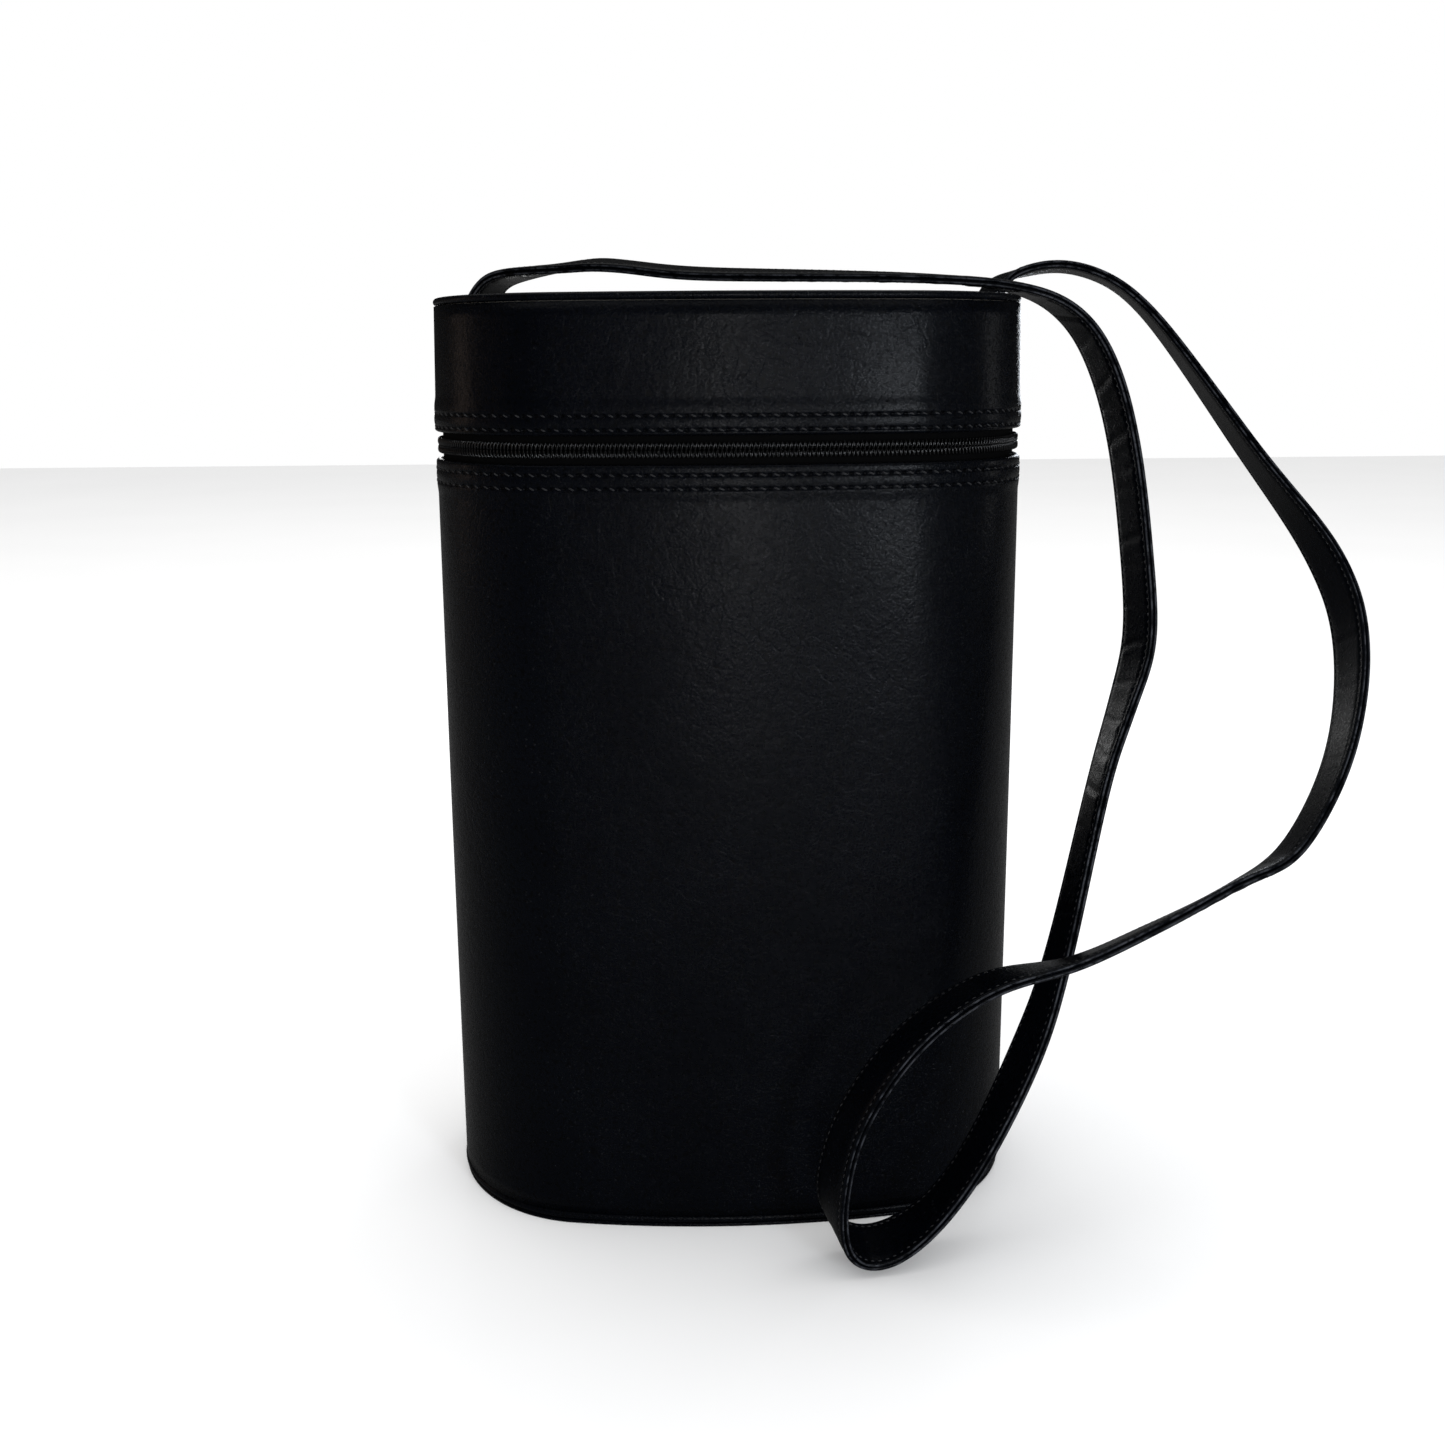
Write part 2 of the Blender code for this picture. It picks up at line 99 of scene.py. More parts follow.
# The strap, as in the CAD.
STRAP_WIDTH = 18.0 * MM
STRAP_THICK = 3.5 * MM
STRAP_STITCH = 2.7 * MM
STRAP_MARGIN = 1.7 * MM
ANCHOR_ANGLE = math.radians(45)
ANCHOR_WIDTH = 22 * MM
ANCHOR_MARGIN = 2.4 * MM
ANCHOR_STITCH = 3.4 * MM
STRAP_CALM = 21
# The route in millimetres; the fourth number is how many degrees the strap is turned about its
# own line, from level towards the rear.
STRAP_ROUTE = [
    (-92.7, 41.2, 246.8, -45), (-97, 44, 316, -40), (-95, 43, 334, -30), (-86, 37, 342, -10),
    (-55, 15, 345, 10), (-38, 5, 344, 10), (-10, 0, 341, 10), (71, 0, 339, 5),
    (108, 0, 335, 0), (127, -2, 325, -10), (138, -7, 306, -15), (145, -13, 277, -15),
    (148, -21, 240, -15), (148, -28, 208, -15), (140, -35, 184, -5), (131, -42, 160, 0),
    (113, -58, 99, -5), (101, -66, 69, -10), (82, -75, 37, -5), (66, -79, 17, -5),
    (51, -81, 7, -15), (42, -82, 6, -15), (34, -84, 12, 5), (30, -88, 31, 25),
    (37, -91, 60, 15), (56, -91, 88, 5), (81, -90, 105, -5), (111, -86, 110, -20),
    (140, -77, 118, -25), (171, -65, 127, -30), (197, -54, 137, -15), (220, -38, 168, -5),
    (230, -21, 204, 10), (225, -7, 234, 20), (203, 13, 272, 5), (168, 38, 328, -5),
    (144, 48, 345, 0), (121, 55, 344, 5), (107, 55, 330, -20), (92.7, 41.2, 246.8, -45),
]

# The camera stands a little below the lid's top and looks slightly down.
CAMERA_PLACE = (-0.0200, -0.5321, 0.3082)
CAMERA_DOWN = math.radians(8.44)
CAMERA_TURN = math.radians(-1.87)
CAMERA_ROLL = math.radians(-0.38)
CAMERA_LENS = 35.5
CAMERA_SHIFT = -0.1018


# ---------------------------------------------------------------- the oval and mesh helpers

def oval_angles(distances):
    """Outward directions at distances along the oval, clockwise from the middle of the back."""
    along = np.mod(np.asarray(distances, float), PERIMETER)
    marks = np.cumsum([0, SIDE_LENGTH / 2, END_LENGTH, SIDE_LENGTH, END_LENGTH, SIDE_LENGTH / 2])
    half_side = math.pi / 2 - JOIN_ANGLE
    turns = np.cumsum([0, half_side, 2 * JOIN_ANGLE, 2 * half_side, 2 * JOIN_ANGLE, half_side])
    return math.pi / 2 - np.interp(along, marks, turns)


def oval_points(distances, offsets):
    """Points of the oval moved out by offsets; both may be arrays of one shape."""
    angle = oval_angles(distances)
    x, y = np.cos(angle), np.sin(angle)
    at_end = np.abs(x) > math.cos(JOIN_ANGLE)
    centre_x = np.where(at_end, np.sign(x) * END_CENTRE, 0)
    centre_y = np.where(at_end, 0, -np.sign(y) * SIDE_CENTRE)
    radius = np.where(at_end, END_RADIUS, SIDE_RADIUS) + offsets
    return np.stack([centre_x + x * radius, centre_y + y * radius], axis=-1)


def body_lean(z):
    return -BASE_INSET * (1 - np.minimum(z, BODY_TOP) / BODY_TOP)


def lid_lean(z):
    return -LID_INSET * np.clip((z - LID_BOTTOM) / (LID_TOP - LID_BOTTOM), 0, 1)


def step(x, low, high):
    """Smooth step from 0 at low to 1 at high."""
    t = np.clip((x - low) / (high - low), 0, 1)
    return t * t * (3 - 2 * t)


def ridge(x, centre, width):
    return np.exp(-((x - centre) / width) ** 2)


def even_run(points):
    """Distances along a line of points."""
    return np.concatenate([[0], np.cumsum(np.linalg.norm(np.diff(points, axis=0), axis=1))])


def waves(seed, count, *coordinates):
    """A sum of seeded sine waves over coordinates given in radians, between about -1 and 1."""
    dice = random.Random(seed)
    total = np.zeros_like(np.asarray(coordinates[0], float))
    for _ in range(count):
        phase = dice.uniform(0, 2 * math.pi)
        total = total + np.sin(sum(c * dice.uniform(0.5, 1.5) for c in coordinates) + phase)
    return total / math.sqrt(count * 2)


def new_object(name, points, polygons, uvs=None):
    """A smooth mesh object; uvs holds a place for each corner of each polygon."""
    mesh = bpy.data.meshes.new(name)
    mesh.from_pydata(points.tolist(), [], polygons)
    if uvs is not None:
        layer = mesh.uv_layers.new(name="surface")
        layer.data.foreach_set("uv", uvs.astype(np.float32).ravel())
    mesh.shade_smooth()
    piece = bpy.data.objects.new(name, mesh)
    bpy.context.scene.collection.objects.link(piece)
    return piece


def grid(name, points, around=False, across=False, u=None, v=None, caps=False):
    """A mesh over rows of points; around joins the last row to the first, across the last column."""
    rows, columns = points.shape[:2]
    last_row = rows if around else rows - 1
    last_column = columns if across else columns - 1
    i, j = np.meshgrid(np.arange(last_row), np.arange(last_column), indexing="ij")
    i, j = i.ravel(), j.ravel()
    ni, nj = (i + 1) % rows, (j + 1) % columns
    faces = np.stack([i * columns + j, i * columns + nj, ni * columns + nj, ni * columns + j], axis=-1)
    u = np.arange(rows + 1) if u is None else u
    v = np.arange(columns + 1) if v is None else v
    corners = [(i, j), (i, j + 1), (i + 1, j + 1), (i + 1, j)]
    uvs = np.stack([np.stack([u[a], v[b]], axis=-1) for a, b in corners], axis=1).reshape(-1, 2)
    polygons = faces.tolist()
    if caps:
        polygons.append(list(range(columns)))
        polygons.append([(rows - 1) * columns + k for k in range(columns)][::-1])
        uvs = np.concatenate([uvs, np.zeros((2 * columns, 2))])
    return new_object(name, points.reshape(-1, 3), polygons, uvs)


def face_out(piece):
    """Turns a closed mesh's faces outwards."""
    shape = bmesh.new()
    shape.from_mesh(piece.data)
    bmesh.ops.recalc_face_normals(shape, faces=shape.faces)
    shape.to_mesh(piece.data)
    shape.free()


def sweep(name, profile, stations=400, start=0.0, end=None, relief=None):
    """A closed profile of (offset, height) carried along the oval.

    An optional relief(u, offset, z) gives each point a new offset and height.
    """
    whole = end is None
    end = PERIMETER if whole else end
    profile = np.asarray(profile, float)
    count = stations if whole else max(8, round(stations * (end - start) / PERIMETER))
    along = start + (end - start) * np.arange(count + 1) / count
    closed = np.concatenate([profile, profile[:1]])
    run = even_run(closed)
    u, offset = np.meshgrid(along[:-1] if whole else along, profile[:, 0], indexing="ij")
    z = np.broadcast_to(profile[:, 1], u.shape)
    if relief is not None:
        offset, z = relief(u, offset, z)
    flat = oval_points(u, offset)
    points = np.concatenate([flat, z[..., None]], axis=-1)
    u_marks = along if whole else np.append(along, along[-1])
    piece = grid(name, points, around=whole, across=True, u=u_marks, v=run, caps=not whole)
    face_out(piece)
    return piece


def tube(name, line, radius, sides=8, closed=False):
    """A round tube along a line of points, kept from twisting."""
    line = np.asarray(line, float)
    ahead = np.roll(line, -1, axis=0) - np.roll(line, 1, axis=0)
    if not closed:
        ahead[0] = line[1] - line[0]
        ahead[-1] = line[-1] - line[-2]
    ahead /= np.linalg.norm(ahead, axis=1)[:, None]
    side = np.cross(ahead, np.array([0.12, 0.2, 0.97]))
    side /= np.linalg.norm(side, axis=1)[:, None]
    up = np.cross(side, ahead)
    turn = np.arange(sides) * 2 * math.pi / sides
    ring = side[:, None, :] * np.cos(turn)[:, None] + up[:, None, :] * np.sin(turn)[:, None]
    radius = np.broadcast_to(np.asarray(radius, float), (len(line),))
    points = line[:, None, :] + ring * radius[:, None, None]
    piece = grid(name, points, around=closed, across=True, caps=not closed)
    face_out(piece)
    return piece


def finish_piece(piece, material, body, slot, *nodes):
    """Gives a piece its material and body, and hides the CAD nodes that it stands for; slot is not used.

    A piece with no body is not attached here.
    """
    piece.data.materials.append(material)
    if body is not None:
        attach(piece, body)
    if nodes:
        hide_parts(*nodes)
    return piece


# ---------------------------------------------------------------- materials

class Nodes:
    """A small helper that adds shader nodes to a material and links them."""

    def __init__(self, name):
        self.material = bpy.data.materials.new(name)
        self.material.use_nodes = True
        self.tree = self.material.node_tree
        self.shader = self.tree.nodes["Principled BSDF"]

    def add(self, kind, settings=None, **inputs):
        node = self.tree.nodes.new("ShaderNode" + kind)
        for key, value in (settings or {}).items():
            setattr(node, key, value)
        for key, value in inputs.items():
            socket = node.inputs[int(key[1:]) if key[1:].isdigit() else key]
            if isinstance(value, bpy.types.NodeSocket):
                self.tree.links.new(value, socket)
            else:
                socket.default_value = value
        return node

    def math(self, operation, first, second=0.0):
        return self.add("Math", {"operation": operation}, i0=first, i1=second).outputs[0]

    def smooth(self, value, low, high, to_low=0.0, to_high=1.0):
        node = self.add("MapRange", {"interpolation_type": "SMOOTHSTEP"}, Value=value)
        node.inputs["From Min"].default_value = low
        node.inputs["From Max"].default_value = high
        node.inputs["To Min"].default_value = to_low
        node.inputs["To Max"].default_value = to_high
        return node.outputs[0]

    def mix(self, share, first, second):
        node = self.add("Mix", {"data_type": "RGBA"})
        for socket, value in zip((node.inputs[0], node.inputs[6], node.inputs[7]), (share, first, second)):
            if isinstance(value, bpy.types.NodeSocket):
                self.tree.links.new(value, socket)
            else:
                socket.default_value = value
        return node.outputs[2]

    def push(self, noise, reach, where):
        """A place moved by up to a reach along each axis, by a noise's colour."""
        settings = {"operation": "MULTIPLY_ADD"}
        shift = noise.outputs["Color"]
        return self.add("VectorMath", settings, i0=shift, i1=(reach,) * 3, i2=where).outputs[0]

    def place(self, scale=(1, 1, 1)):
        where = self.add("TexCoord").outputs["Object"]
        return self.add("Mapping", Vector=where, Scale=scale).outputs[0]

    def link(self, name, value):
        if isinstance(value, bpy.types.NodeSocket):
            self.tree.links.new(value, self.shader.inputs[name])
        else:
            self.shader.inputs[name].default_value = value


def leather(name, rows=(), edges=(), crease=1.0, depth=0.048 * MM, rough=0.19):
    """Black grained leather.

    rows and edges are how far up its own surface the stitch holes and the edges lie; along the edges a
    lighter line is painted as a highlight.
    """
    colour = (0.0005, 0.0008, 0.0016)
    m = Nodes(name)
    where = m.place()
    drift = m.add("TexNoise", Vector=where, Scale=90.0, Detail=2.0)
    bent = m.push(drift, 1.2 * MM, where)
    grain = m.add("TexVoronoi", {"feature": "SMOOTH_F1"}, Vector=bent, Scale=980.0, Smoothness=0.6)
    fine = m.add("TexVoronoi", {"feature": "DISTANCE_TO_EDGE"}, Vector=bent, Scale=1500.0)
    pebble = m.smooth(grain.outputs["Distance"], 0.1, 0.75, 1.0, 0.0)
    pores = m.smooth(fine.outputs["Distance"], 0.0, 0.12)
    patches = m.add("TexNoise", Vector=where, Scale=16.0, Detail=3.0, Roughness=0.6)
    patch = m.smooth(patches.outputs["Fac"], 0.36, 0.66)
    warp = m.add("TexNoise", Vector=where, Scale=30.0, Detail=3.0)
    warped = m.push(warp, 50 * MM, where)
    lines = m.add("TexVoronoi", {"feature": "DISTANCE_TO_EDGE"}, Vector=warped, Scale=95.0)
    creases = m.smooth(lines.outputs["Distance"], 0.0, 0.05)
    lumps = m.add("TexVoronoi", {"feature": "SMOOTH_F1"}, Vector=bent, Scale=430.0, Smoothness=0.8)
    specks = m.add("TexVoronoi", Vector=bent, Scale=640.0)
    chosen = m.smooth(m.add("SeparateColor", Color=specks.outputs["Color"]).outputs[0], 0.84, 0.88)
    glint = m.math("MULTIPLY", chosen, m.smooth(specks.outputs["Distance"], 0.14, 0.30, 1.0, 0.0))
    swell = m.add("TexNoise", Vector=where, Scale=14.0, Detail=2.0)
    dents = m.add("TexNoise", Vector=where, Scale=75.0, Detail=3.0, Roughness=0.6)

    height = m.math("MULTIPLY", pebble, m.smooth(patches.outputs["Fac"], 0.3, 0.7, 0.35, 1.0))
    height = m.math("ADD", height, m.math("MULTIPLY", pores, 0.5))
    height = m.math("SUBTRACT", height, m.math("MULTIPLY", lumps.outputs["Distance"], 1.2))
    height = m.math("ADD", height, m.math("MULTIPLY", glint, 2.6))
    height = m.math("ADD", height, m.math("MULTIPLY", m.math("MULTIPLY", creases, patch), 1.3 * crease))
    height = m.math("ADD", height, m.math("MULTIPLY", swell.outputs["Fac"], 14.0 * crease))
    height = m.math("ADD", height, m.math("MULTIPLY", dents.outputs["Fac"], 4.0 * crease))
    # Darker base colour in the grain's hollows is painted shade.
    painted_shade = m.smooth(grain.outputs["Distance"], 0.45, 0.9)
    if rows:
        uv = m.add("SeparateXYZ", Vector=m.add("TexCoord").outputs["UV"])
        turn = m.math("FRACT", m.math("DIVIDE", uv.outputs[0], STITCH_PITCH))
        along = m.math("MULTIPLY", m.math("ABSOLUTE", m.math("SUBTRACT", turn, 0.5)), STITCH_PITCH)
        pits = None
        for row in rows:
            across = m.math("ABSOLUTE", m.math("SUBTRACT", uv.outputs[1], row))
            length = m.math("SQRT", m.math("ADD", m.math("POWER", along, 2.0), m.math("POWER", across, 2.0)))
            pit = m.smooth(length, 0.25 * MM, 0.95 * MM, 1.0, 0.0)
            pits = pit if pits is None else m.math("MAXIMUM", pits, pit)
        height = m.math("SUBTRACT", height, m.math("MULTIPLY", pits, 9.0))
        # The stitch holes are darkened in the base colour as well: painted shade.
        painted_shade = m.math("MAXIMUM", painted_shade, pits)
    base = m.mix(patch, (*colour, 1), (*(1.35 * c for c in colour), 1))
    # Lighter base colour on the chosen specks is a painted glint, a painted highlight.
    base = m.mix(m.math("MULTIPLY", glint, patch), base, (0.006, 0.0064, 0.0076, 1))
    # The lighter line along each edge, broken into patches by noise, is a painted highlight.
    if edges:
        up = m.add("SeparateXYZ", Vector=m.add("TexCoord").outputs["UV"]).outputs[1]
        bright_patches = m.smooth(m.add("TexNoise", Vector=where, Scale=220.0, Detail=3.0).outputs["Fac"], 0.35, 0.6)
        line = 0.0
        for edge in edges:
            near = m.math("ABSOLUTE", m.math("SUBTRACT", up, edge))
            line = m.math("MAXIMUM", line, m.smooth(near, 0.15 * MM, 0.45 * MM, 1.0, 0.0))
        base = m.mix(m.math("MULTIPLY", line, bright_patches), base, (0.026, 0.028, 0.033, 1))
    m.link("Base Color", m.mix(painted_shade, base, (*(0.35 * c for c in colour), 1)))
    matt = m.math("MULTIPLY", m.smooth(patches.outputs["Fac"], 0.3, 0.7), 0.06)
    matt = m.math("ADD", matt, m.smooth(grain.outputs["Distance"], 0.2, 0.8, rough, rough + 0.09))
    m.link("Roughness", m.math("SUBTRACT", matt, m.math("MULTIPLY", glint, 0.08)))
    bump = m.add("Bump", Height=height, Strength=1.0, Distance=depth)
    m.link("Normal", bump.outputs[0])
    m.link("Specular IOR Level", 0.08)
    return m.material


def woven(name, colour, herringbone=False):
    """Cloth with two crossing threads; herringbone slants them in columns."""
    m = Nodes(name)
    parts = m.add("SeparateXYZ", Vector=m.add("TexCoord").outputs["UV"])
    if herringbone:
        zig = m.math("PINGPONG", parts.outputs[1], 1.1 * MM)
        slanted = m.math("ADD", parts.outputs[0], m.math("MULTIPLY", zig, 0.9))
        thread = m.math("SINE", m.math("MULTIPLY", slanted, 2 * math.pi / (0.55 * MM)))
    else:
        one = m.math("SINE", m.math("MULTIPLY", parts.outputs[0], math.pi / WEAVE_PITCH))
        two = m.math("SINE", m.math("MULTIPLY", parts.outputs[1], math.pi / WEAVE_PITCH))
        thread = m.math("MULTIPLY", one, two)
    fuzz = m.add("TexNoise", Vector=m.place(), Scale=2500.0, Detail=2.0)
    tone = m.add("TexNoise", Vector=m.place(), Scale=40.0, Detail=2.0)
    share = m.smooth(m.math("ADD", m.math("MULTIPLY", thread, 0.5), tone.outputs["Fac"]), 0.1, 1.1)
    m.link("Base Color", m.mix(share, (*(0.45 * c for c in colour), 1), (*colour, 1)))
    m.link("Roughness", m.smooth(fuzz.outputs["Fac"], 0.3, 0.7, 0.75, 0.93))
    height = m.math("ADD", m.math("MULTIPLY", thread, 0.6), m.math("MULTIPLY", fuzz.outputs["Fac"], 0.5))
    m.link("Normal", m.add("Bump", Height=height, Strength=0.9, Distance=0.08 * MM).outputs[0])
    m.link("Specular IOR Level", 0.06)
    return m.material


def thread_material():
    m = Nodes("thread")
    where = m.add("TexCoord").outputs["Object"]
    twist = m.add("TexWave", {"bands_direction": "DIAGONAL"}, Vector=where, Scale=900.0, Distortion=0.6)
    m.link("Base Color", m.mix(twist.outputs["Fac"], (0.007, 0.007, 0.008, 1), (0.02, 0.0205, 0.022, 1)))
    m.link("Roughness", m.smooth(twist.outputs["Fac"], 0, 1, 0.42, 0.3))
    m.link("Normal", m.add("Bump", Height=twist.outputs["Fac"], Strength=0.6, Distance=0.05 * MM).outputs[0])
    m.link("Specular IOR Level", 0.3)
    return m.material


def nylon_material():
    m = Nodes("coil_nylon")
    spots = m.add("TexNoise", Vector=m.place(), Scale=700.0, Detail=3.0)
    m.link("Base Color", m.mix(spots.outputs["Fac"], (0.001, 0.001, 0.0012, 1), (0.002, 0.002, 0.0024, 1)))
    m.link("Roughness", m.smooth(spots.outputs["Fac"], 0.3, 0.7, 0.14, 0.24))
    m.link("Normal", m.add("Bump", Height=spots.outputs["Fac"], Strength=0.25, Distance=0.03 * MM).outputs[0])
    m.link("Specular IOR Level", 0.4)
    return m.material


def metal_material():
    """Dark plated zinc that shows brighter metal where it is rubbed."""
    m = Nodes("plated_zinc")
    marks = m.add("TexNoise", Vector=m.place((1, 1, 4)), Scale=900.0, Detail=4.0)
    edge = m.add("NewGeometry").outputs["Pointiness"]
    bright_patches = m.math("MULTIPLY", m.smooth(edge, 0.51, 0.58), m.smooth(marks.outputs["Fac"], 0.4, 0.6))
    m.link("Base Color", m.mix(bright_patches, (0.06, 0.06, 0.064, 1), (0.16, 0.158, 0.15, 1)))
    m.link("Metallic", 1.0)
    m.link("Roughness", m.smooth(marks.outputs["Fac"], 0.3, 0.7, 0.25, 0.42))
    m.link("Normal", m.add("Bump", Height=marks.outputs["Fac"], Strength=0.15, Distance=0.03 * MM).outputs[0])
    return m.material


def board_material():
    m = Nodes("grey_board")
    fibre = m.add("TexNoise", Vector=m.place((1, 1, 6)), Scale=500.0, Detail=5.0)
    m.link("Base Color", m.mix(fibre.outputs["Fac"], (0.16, 0.15, 0.13, 1), (0.3, 0.285, 0.25, 1)))
    m.link("Roughness", m.smooth(fibre.outputs["Fac"], 0.2, 0.8, 0.75, 0.92))
    m.link("Normal", m.add("Bump", Height=fibre.outputs["Fac"], Strength=0.4, Distance=0.1 * MM).outputs[0])
    return m.material


# ---------------------------------------------------------------- stitches

def stitch_shape(length, thread):
    """Points of one stitch: rings along X with Y across and Z out of the leather."""
    stations = np.linspace(-1, 1, 7)
    turn = np.arange(6) * math.pi / 3
    rings = []
    for t in stations:
        thick = thread * (1 - 0.55 * abs(t) ** 3)
        sink = -0.42 * MM * abs(t) ** 3.5
        middle = sink + thread * 0.35
        rings.append([(t * length / 2, thick * math.cos(a), middle + thick * math.sin(a)) for a in turn])
    return np.array(rings)


def stitches(name, places, along, out, length, material, body, slant=-26.0, seed=1, fine=1.0):
    """One mesh of stitches at places, given unit directions along the row and out of the leather."""
    shape = stitch_shape(length, THREAD * fine)
    rings, sides = shape.shape[:2]
    dice = random.Random(seed)
    vertices, faces = [], []
    for place, ahead, normal in zip(places, along, out):
        across = np.cross(normal, ahead)
        tilt = math.radians(slant + dice.uniform(-3, 3))
        forward = ahead * math.cos(tilt) + across * math.sin(tilt)
        sideways = np.cross(normal, forward)
        first = len(vertices) * rings * sides
        local = shape.reshape(-1, 3) * np.array([dice.uniform(0.93, 1.05), 1, 1])
        vertices.append(place + local @ np.stack([forward, sideways, normal]))
        for i in range(rings - 1):
            for j in range(sides):
                k = (j + 1) % sides
                a = first + i * sides
                faces.append((a + j, a + k, a + sides + k, a + sides + j))
        faces.append(tuple(first + j for j in reversed(range(sides))))
        faces.append(tuple(first + (rings - 1) * sides + j for j in range(sides)))
    return finish_piece(new_object(name, np.concatenate(vertices), faces), material, body, "leather")


def oval_row(name, z, offset, material, body, seed):
    """A stitch row round the oval; its holes lie half a pitch before and after each stitch."""
    along = np.arange(0, PERIMETER - STITCH_PITCH * 0.4, STITCH_PITCH)
    flat = oval_points(along, np.full(len(along), offset))
    angle = oval_angles(along)
    places = np.column_stack([flat, np.full(len(along), z)])
    out = np.column_stack([np.cos(angle), np.sin(angle), np.zeros(len(along))])
    ahead = np.column_stack([np.sin(angle), -np.cos(angle), np.zeros(len(along))])
    stitches(name, places, ahead, out, STITCH_PITCH * 0.55, material, body, seed=seed)


# ---------------------------------------------------------------- the case

def hem_line(far, edge, rows, lean, fine=0.3 * MM):
    """The outer side of a cover, from its far end to its hem: heights and offsets."""
    away = math.copysign(1, far - edge)
    span = abs(far - edge)
    depths = np.concatenate([np.arange(span, 14 * MM, -5 * MM), np.arange(14 * MM, 1.2 * MM, -fine)])
    z = edge + away * depths
    hem = 1 - step(depths, 9 * MM, 13 * MM)
    offset = lean(z) * (1 - step(14 * MM - depths, 0, 8 * MM)) + HEM_OUT * hem
    for row in rows:
        offset = offset - 0.34 * MM * ridge(depths, row, 0.55 * MM)
    between = sum(rows) / 2
    offset = offset + 0.12 * MM * ridge(depths, between, 1.2 * MM)
    return z, offset


def cover_profile(far, edge, rows, lean):
    """A closed profile: up the outside, over the rounded hem and back down the inside."""
    away = math.copysign(1, far - edge)
    z, offset = hem_line(far, edge, rows, lean)
    points = list(zip(offset, z))
    bend = 1.15 * MM
    for i in range(8):
        turn = math.radians(12 + 78 * i / 7)
        points.append((HEM_OUT - bend + bend * math.cos(turn), edge + away * bend * (1 - math.sin(turn))))
    points.append((-HEM_IN + 0.5 * MM, edge))
    points.append((-HEM_IN, edge + away * 0.5 * MM))
    points.append((-HEM_IN, edge + away * 11 * MM))
    points.append((-COVER - 0.1 * MM, edge + away * 11.4 * MM))
    points.append((float(lean(far)) - COVER, far))
    return points


def soft_wall(seed, lean, amount):
    """Slow unevenness in a leather wall that fades out at its stitched hem."""
    def relief(u, offset, z):
        slow = waves(seed, 5, 8 * np.cos(u / PERIMETER * 2 * math.pi), z / (60 * MM))
        return offset + amount * slow * (offset > lean(z) - 0.8 * MM), z
    return relief


def profile_rows(profile, heights):
    """How far along a profile its outer side passes each height."""
    points = np.array(profile)
    run = even_run(points)
    outer = len(points) - 12
    order = np.argsort(points[:outer, 1])
    return [float(np.interp(h, points[:outer, 1][order], run[:outer][order])) for h in heights]


def make_covers(look):
    """The two leather walls, then the stitch rows along their hems."""
    body_rows = [BODY_TOP - row for row in BODY_ROWS]
    lid_rows = [LID_BOTTOM + row for row in LID_ROWS]
    body_profile = cover_profile(BODY_LOW, BODY_TOP, BODY_ROWS, body_lean)
    lid_profile = cover_profile(LID_HIGH, LID_BOTTOM, LID_ROWS, lid_lean)
    for part, body, profile, rows, relief in (
        ("body", "case", body_profile, body_rows, soft_wall(3, body_lean, 0.22 * MM)),
        ("lid", "lid", lid_profile, lid_rows, soft_wall(8, lid_lean, 0.15 * MM)),
    ):
        skin = leather(f"leather_{part}", profile_rows(profile, rows))
        cover = sweep(f"{part}_skin", profile, 480, relief=relief)
        finish_piece(cover, skin, body, "leather", f"{part}_cover")
    for part, body, rows, seed in (("body", "case", body_rows, 10), ("lid", "lid", lid_rows, 20)):
        for i, z in enumerate(rows):
            oval_row(f"{part}_stitches_{i + 1}", z, HEM_OUT - 0.3 * MM, look["thread"], body, seed + i)


def welt_profile(outer, low, high):
    """A folded leather edge: a half-round nose with a flat tail."""
    middle, half = (low + high) / 2, (high - low) / 2
    inner = outer - 3 * MM
    turns = np.radians(np.linspace(-90, 90, 13))
    nose = [(outer - half + half * math.cos(t), middle + half * math.sin(t)) for t in turns]
    return [(inner, low)] + nose + [(inner, high)]


def make_welts(look):
    for name, node, body, edge in (
        ("lid_piping", "lid_welt", "lid", -LID_INSET + HEM_OUT),
        ("base_piping", "base_welt", "case", -BASE_INSET + HEM_OUT),
    ):
        low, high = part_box(node)[0][2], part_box(node)[1][2]
        welt = sweep(name, welt_profile(edge, low, high), 400)
        finish_piece(welt, look["leather"], body, "leather", node)


def panel(name, offset, low, high, crown, material, body, slot, node):
    """A flat oval panel with softly rounded edges and a slight crown on its upper side."""
    count, rings = 220, 14
    along = PERIMETER * np.arange(count) / count
    edge = oval_points(along, np.full(count, offset))
    round_off = min(0.5 * MM, (high - low) * 0.4)
    shares = np.linspace(1, 0.02, rings)
    rows = [(1 - 0.002, low), (1.0, low + round_off), (1.0, high - round_off), (1 - 0.004, high)]
    rows += [(s, high + crown * (1 - s ** 4)) for s in shares[1:]]
    under = [(s, low) for s in np.linspace(0.02, 0.98, rings)]
    spine = np.column_stack([np.clip(edge[:, 0], -END_CENTRE, END_CENTRE), np.zeros(count)])
    loops = []
    for share, z in under + rows:
        ridge_line = spine * min(1.0, share * 1.5)
        flat = ridge_line + (edge - ridge_line) * share
        loops.append(np.column_stack([flat, np.full(count, z)]))
    points = np.array(loops)
    u = np.linspace(0, 0.1, len(loops) + 1)
    piece = grid(name, points, across=True, u=u, v=np.linspace(0, PERIMETER, count + 1), caps=True)
    face_out(piece)
    return finish_piece(piece, material, body, slot, node)


def make_panels(look):
    for name, node, body, crown, material, slot in (
        ("lid_top_skin", "lid_top_cover", "lid", 0.5 * MM, look["leather"], "leather"),
        ("lid_top_cloth", "lid_top_lining", "lid", 0.0, look["lining"], "lining"),
        ("base_skin", "base_cover", "case", 0.0, look["leather"], "leather"),
        ("base_cloth", "base_lining", "case", 0.1 * MM, look["lining"], "lining"),
    ):
        low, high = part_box(node)
        panel(name, high[0] - HALF_WIDTH, low[2], high[2], crown, material, body, slot, node)


